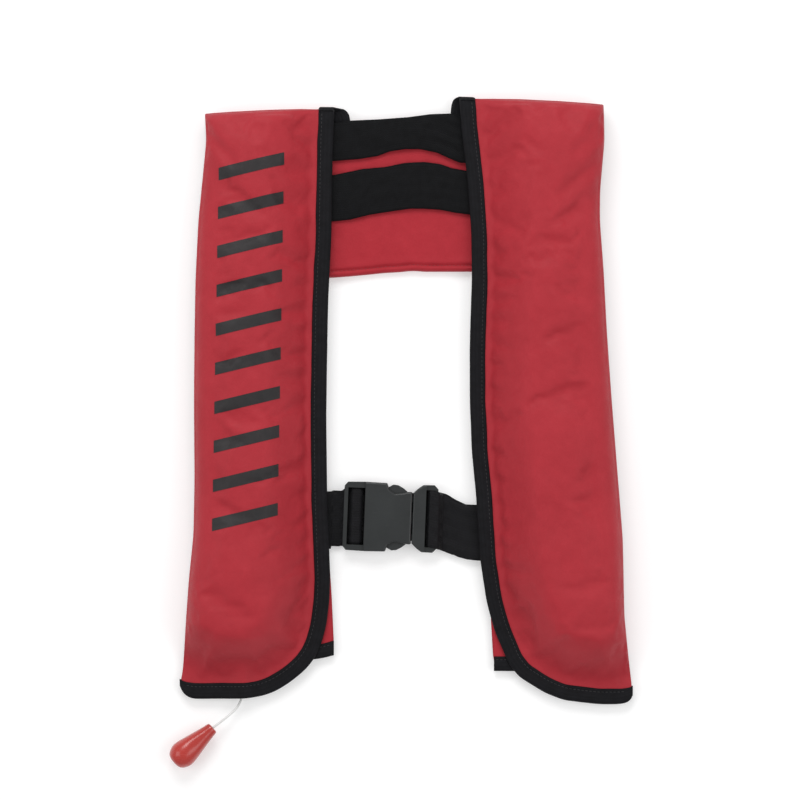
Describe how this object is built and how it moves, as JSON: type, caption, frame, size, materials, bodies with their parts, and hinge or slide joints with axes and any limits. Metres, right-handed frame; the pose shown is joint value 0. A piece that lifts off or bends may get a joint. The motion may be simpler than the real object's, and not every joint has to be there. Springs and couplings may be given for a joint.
{
  "type": "inflatable life jacket",
  "caption": "Manual inflatable life jacket: two padded red front lobes joined behind the neck, black-bound edges, waist belt with side-release buckle, pull-cord handle.",
  "frame": {"origin": "centre of the flat outer face of the neck-and-back panel, which the jacket rests on when it lies folded on its back", "axes": "+Y towards the wearer's head, along the jacket's length; +Z out of the jacket's front, away from the wearer's back; +X to the right as the front is seen, which is the wearer's left"},
  "size_m": [0.4143, 0.5976, 0.044],
  "materials": {
    "cover_red": "coated woven nylon, semi-matt",
    "panel_red": "coated woven nylon, semi-matt",
    "binding_tape": "folded grosgrain tape, matt",
    "webbing": "ribbed polyester webbing",
    "closure_strip": "hook-and-loop pile",
    "bladder_yellow": "coated airtight nylon, satin",
    "reflective_tape": "retro-reflective film",
    "buckle_plastic": "satin moulded acetal",
    "handle_plastic": "glossy moulded plastic",
    "cord_white": "braided cord",
    "inflator_plastic": "glass-filled nylon, matt",
    "cylinder_steel": "zinc plated",
    "small_steel": "stainless",
    "fitting_brass": "machined",
    "seal_rubber": "matt",
    "tube_rubber": "satin",
    "valve_plastic": "matt",
    "cap_plastic": "semi-gloss",
    "whistle_plastic": "glossy"
  },
  "bodies": {
    "back": {"back_outer_cover": "cover_red", "back_inner_cover": "cover_red", "neck_bladder": "bladder_yellow", "neck_strap": "webbing", "yoke_strap": "webbing", "left_neck_binding": "binding_tape", "right_neck_binding": "binding_tape"},
    "front": {"left_inner_panel": "panel_red", "left_panel_binding": "binding_tape", "right_inner_panel": "panel_red", "right_panel_binding": "binding_tape", "left_loop_strip": "closure_strip", "right_loop_strip": "closure_strip", "left_shoulder_cap": "cover_red", "right_shoulder_cap": "cover_red", "left_bladder": "bladder_yellow", "right_bladder": "bladder_yellow", "left_reflective_patch": "reflective_tape", "right_reflective_patch": "reflective_tape", "waist_belt": "webbing", "left_belt_loop": "webbing", "right_belt_loop": "webbing", "buckle_female": "buckle_plastic", "inflator_body": "inflator_plastic", "lever_pivot_pin": "small_steel", "inflator_stem": "fitting_brass", "stem_cap_nut": "fitting_brass", "pin_return_spring": "small_steel", "tube_flange": "seal_rubber", "oral_tube": "tube_rubber", "oral_valve_body": "valve_plastic", "valve_spring": "small_steel", "whistle_lanyard": "cord_white"},
    "left_flap": {"left_front_cover": "cover_red", "left_cover_binding": "binding_tape", "left_hook_strip": "closure_strip"},
    "right_flap": {"right_front_cover": "cover_red", "right_cover_binding": "binding_tape", "right_hook_strip": "closure_strip"},
    "buckle_male": {"buckle_male": "buckle_plastic", "belt_adjuster_strap": "webbing"},
    "upper_prong": {"upper_prong": "buckle_plastic"},
    "lower_prong": {"lower_prong": "buckle_plastic"},
    "pull_handle": {"pull_handle": "handle_plastic", "pull_cord": "cord_white", "cord_knot": "cord_white"},
    "firing_lever": {"firing_lever": "inflator_plastic"},
    "firing_pin": {"firing_pin": "small_steel"},
    "sealing_washer": {"sealing_washer": "seal_rubber"},
    "co2_cylinder": {"co2_cylinder": "cylinder_steel"},
    "oral_dust_cap": {"oral_dust_cap": "cap_plastic"},
    "valve_plunger": {"valve_plunger": "valve_plastic"},
    "whistle": {"whistle": "whistle_plastic"}
  },
  "joints": [
    {"name": "shoulder_fold", "type": "hinge", "parent": "back", "child": "front", "pos_m": [0, 0.075, 0.0135], "axis": [-1, 0, 0], "range_deg": [0, 100]},
    {"name": "left_cover_open", "type": "hinge", "parent": "front", "child": "left_flap", "pos_m": [-0.17466, 0.075, 0.0147], "axis": [-0.0386, -0.9991, -0.02], "range_deg": [0, 110]},
    {"name": "right_cover_open", "type": "hinge", "parent": "front", "child": "right_flap", "pos_m": [0.1818, 0.075, 0.0147], "axis": [-0.0488, 0.9986, 0.02], "range_deg": [0, 110]},
    {"name": "buckle_slide", "type": "slide", "parent": "front", "child": "buckle_male", "axis": [0.9993, -0.0384, 0], "range_m": [0, 0.032], "deforming": ["upper_prong", "lower_prong"]},
    {"name": "upper_prong_squeeze", "type": "hinge", "parent": "buckle_male", "child": "upper_prong", "pos_m": [0.01373, -0.27064, 0.0097], "axis": [0, 0, 1], "range_deg": [0, 7], "stiffness_Nm_per_rad": 0.4},
    {"name": "lower_prong_squeeze", "type": "hinge", "parent": "buckle_male", "child": "lower_prong", "pos_m": [0.01244, -0.30422, 0.0097], "axis": [0, 0, 1], "range_deg": [-7, 0]},
    {"name": "handle_pull", "type": "slide", "parent": "front", "child": "pull_handle", "axis": [0, -1, 0], "range_m": [0, 0.049]},
    {"name": "lever_swing", "type": "hinge", "parent": "front", "child": "firing_lever", "pos_m": [-0.16207, -0.376, 0.0252], "axis": [0, 0, -1], "range_deg": [0, 100]},
    {"name": "firing_pin_stroke", "type": "slide", "parent": "front", "child": "firing_pin", "axis": [0, 1, 0], "range_m": [0, 0.006], "deforming": ["pin_return_spring"]},
    {"name": "washer_lift", "type": "slide", "parent": "front", "child": "sealing_washer", "axis": [0, 1, 0], "range_m": [0, 0.00636]},
    {"name": "cylinder_turn", "type": "hinge", "parent": "sealing_washer", "child": "co2_cylinder", "pos_m": [-0.16607, -0.342, 0.0252], "axis": [0, 1, 0], "range_deg": [0, 1800]},
    {"name": "dust_cap_pull", "type": "slide", "parent": "front", "child": "oral_dust_cap", "axis": [0, 1, 0], "range_m": [0, 0.015]},
    {"name": "valve_press", "type": "slide", "parent": "front", "child": "valve_plunger", "axis": [0, -1, 0], "range_m": [0, 0.003], "stiffness_N_per_m": 300, "deforming": ["valve_spring"]},
    {"name": "whistle_swing", "type": "hinge", "parent": "front", "child": "whistle", "pos_m": [0.165, -0.352, 0.019], "axis": [0, 0, 1], "range_deg": [-20, 25]}
  ],
  "couplings": [
    {"joint": "lower_prong_squeeze", "follows": "upper_prong_squeeze", "ratio": -1},
    {"joint": "lever_swing", "follows": "handle_pull", "rad_per_m": 35.6},
    {"joint": "firing_pin_stroke", "follows": "handle_pull", "ratio": 0.1224},
    {"joint": "washer_lift", "follows": "cylinder_turn", "m_per_rad": 0.000202}
  ]
}
